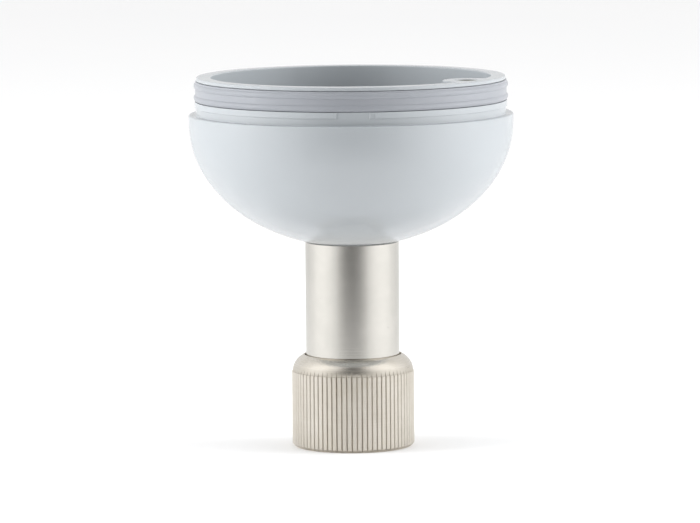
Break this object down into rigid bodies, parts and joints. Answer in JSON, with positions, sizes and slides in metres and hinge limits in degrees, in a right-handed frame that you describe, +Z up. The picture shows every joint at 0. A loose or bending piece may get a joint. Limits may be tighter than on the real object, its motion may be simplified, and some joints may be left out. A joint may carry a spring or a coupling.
{
  "type": "instrument head base",
  "caption": "Open bowl-shaped instrument housing with a ribbed neck seal, on a turned metal barrel with a sliding, knurled union nut.",
  "frame": {"origin": "centre of the union nut's lower face, on which the base stands", "axes": "+Z up along the barrel's axis; -Y is the front, where the centring lip has its gap; +X to the right"},
  "size_m": [0.09, 0.09, 0.1032],
  "materials": {
    "housing_plastic": "gloss",
    "seal_silicone": "satin",
    "insert_brass": "satin",
    "barrel_nickel": "satin",
    "nut_nickel": "satin",
    "hex_nickel": "satin",
    "plain_steel": "satin",
    "black_rubber": "matte",
    "connector_plastic": "matte",
    "bush_plastic": "matte",
    "contact_gold": "polished"
  },
  "bodies": {
    "housing": {"bowl_shell": "housing_plastic", "rim_seal": "seal_silicone", "lug_insert": "insert_brass", "stem": "barrel_nickel", "stem_seal": "black_rubber", "anti_turn_key": "plain_steel", "clamp_washer": "plain_steel", "spring_washer": "plain_steel", "lock_nut": "hex_nickel", "wire_grommet": "black_rubber", "face_seal": "black_rubber", "connector_body": "connector_plastic", "connector_pins": "contact_gold", "connector_seal": "black_rubber", "connector_clip": "plain_steel"},
    "collar": {"guide_bush": "bush_plastic"},
    "nut": {"union_nut": "nut_nickel", "wiper_ring": "black_rubber"}
  },
  "joints": [
    {"name": "nut_slide", "type": "slide", "parent": "housing", "child": "collar", "axis": [0, 0, 1], "range_m": [0, 0.03]},
    {"name": "nut_spin", "type": "hinge", "parent": "collar", "child": "nut", "pos_m": [0, 0, 0.019], "axis": [0, 0, 1], "continuous": true}
  ]
}
